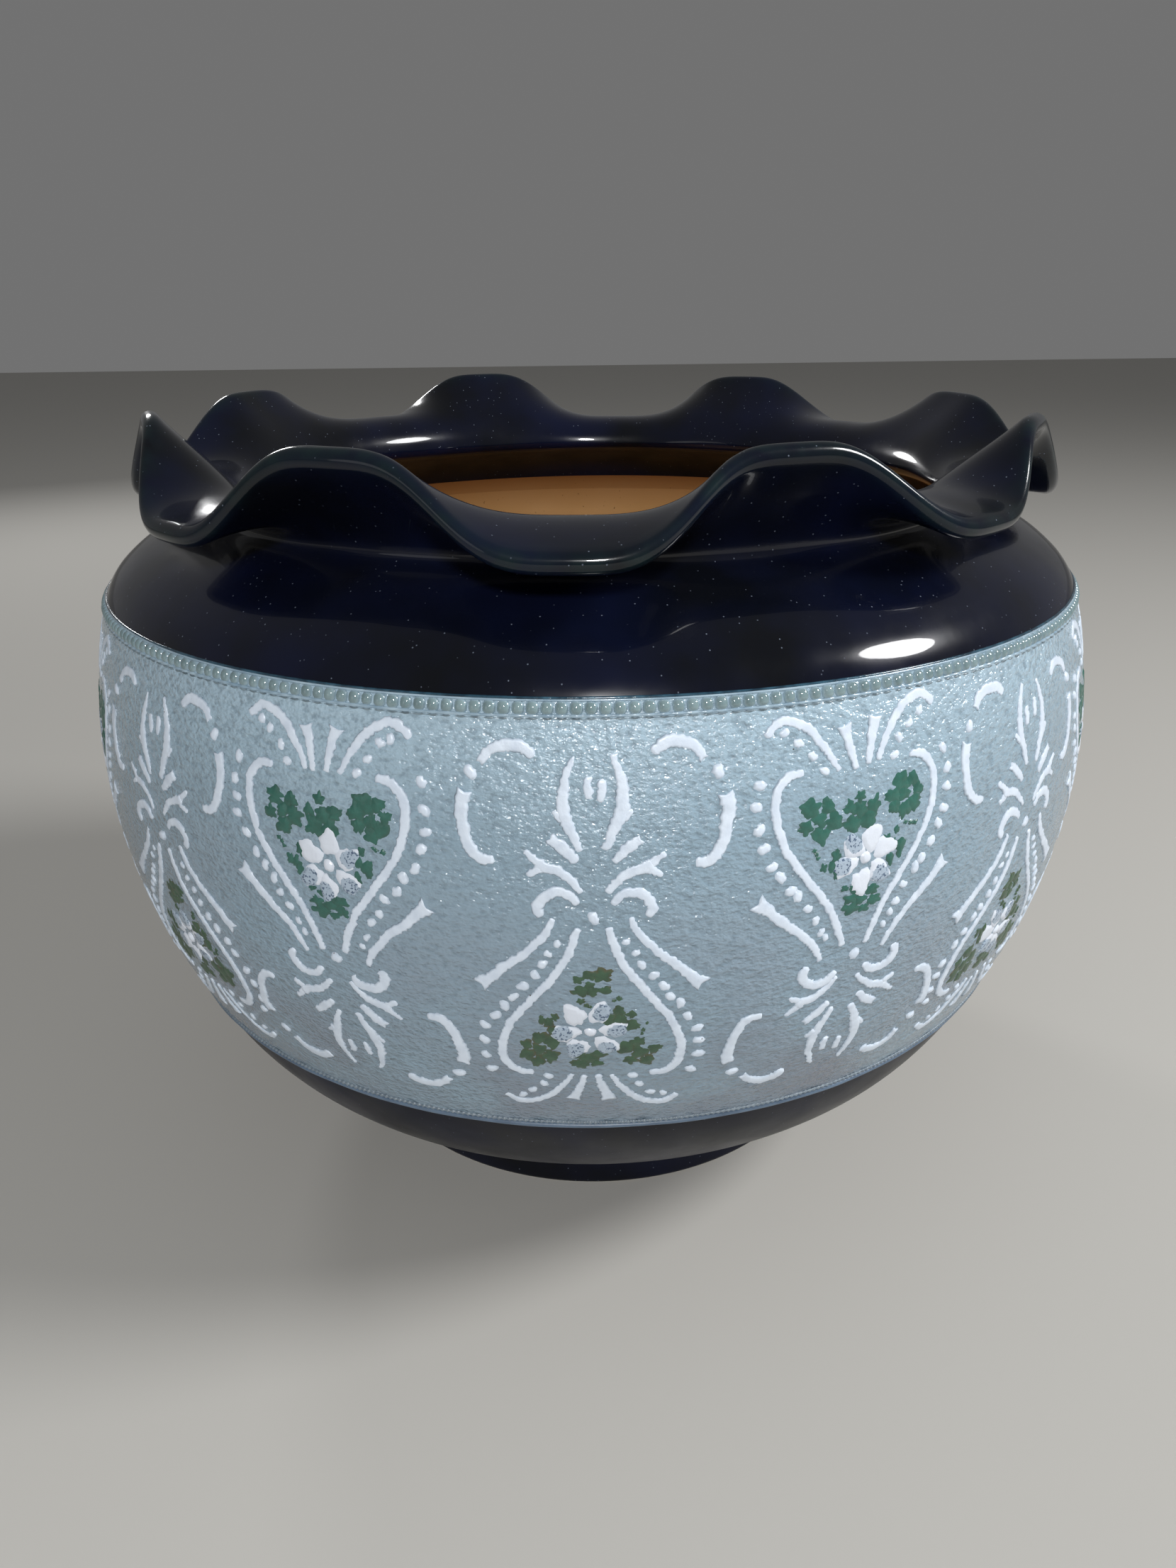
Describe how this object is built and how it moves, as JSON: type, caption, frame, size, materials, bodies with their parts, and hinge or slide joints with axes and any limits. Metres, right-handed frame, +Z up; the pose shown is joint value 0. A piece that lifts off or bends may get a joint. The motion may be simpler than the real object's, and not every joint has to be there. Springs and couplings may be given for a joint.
{
  "type": "jardiniere",
  "caption": "Round glazed stoneware jardiniere with a frilled, curled rim, a turned foot and a grey textured belt with bead row and raised slip hearts, palmettes and scrolls.",
  "frame": {"origin": "centre of the circle the foot ring stands on, on the pot's axis", "axes": "+Z up along the pot's axis; -Y faces the front, where the middle of one rim dip and one upright heart lie"},
  "size_m": [0.2548, 0.2548, 0.1928],
  "materials": {
    "cobalt_glaze": "high-gloss glaze",
    "belt_stoneware": "salt glaze over a cloth-textured ground",
    "bead_glaze": "glossy translucent glaze",
    "blue_slip": "glossy glaze",
    "white_slip": "satin raised slip",
    "leaf_enamel": "satin enamel",
    "petal_enamel": "satin enamel with blue speckle"
  },
  "bodies": {
    "root": {"foot_base": "cobalt_glaze", "lower_bowl": "cobalt_glaze", "belt_wall": "belt_stoneware", "shoulder": "cobalt_glaze", "frilled_rim": "cobalt_glaze", "bead_row": "bead_glaze", "bead_fillet_upper": "blue_slip", "bead_fillet_lower": "blue_slip", "belt_foot_fillet": "blue_slip", "belt_foot_cord": "blue_slip", "palmette_inner_petals": "white_slip", "palmette_dashes": "white_slip", "palmette_middle_petals": "white_slip", "palmette_outer_petals": "white_slip", "knot_hooks": "white_slip", "knot_dots": "white_slip", "heart_outlines": "white_slip", "heart_flares": "white_slip", "heart_dots": "white_slip", "fan_swooshes": "white_slip", "fan_petals": "white_slip", "fan_dots": "white_slip", "scroll_arches": "white_slip", "scroll_cees": "white_slip", "scroll_dots": "white_slip", "leaf_sprays": "leaf_enamel", "flower_petals": "petal_enamel", "flower_eyes": "petal_enamel"}
  },
  "joints": []
}
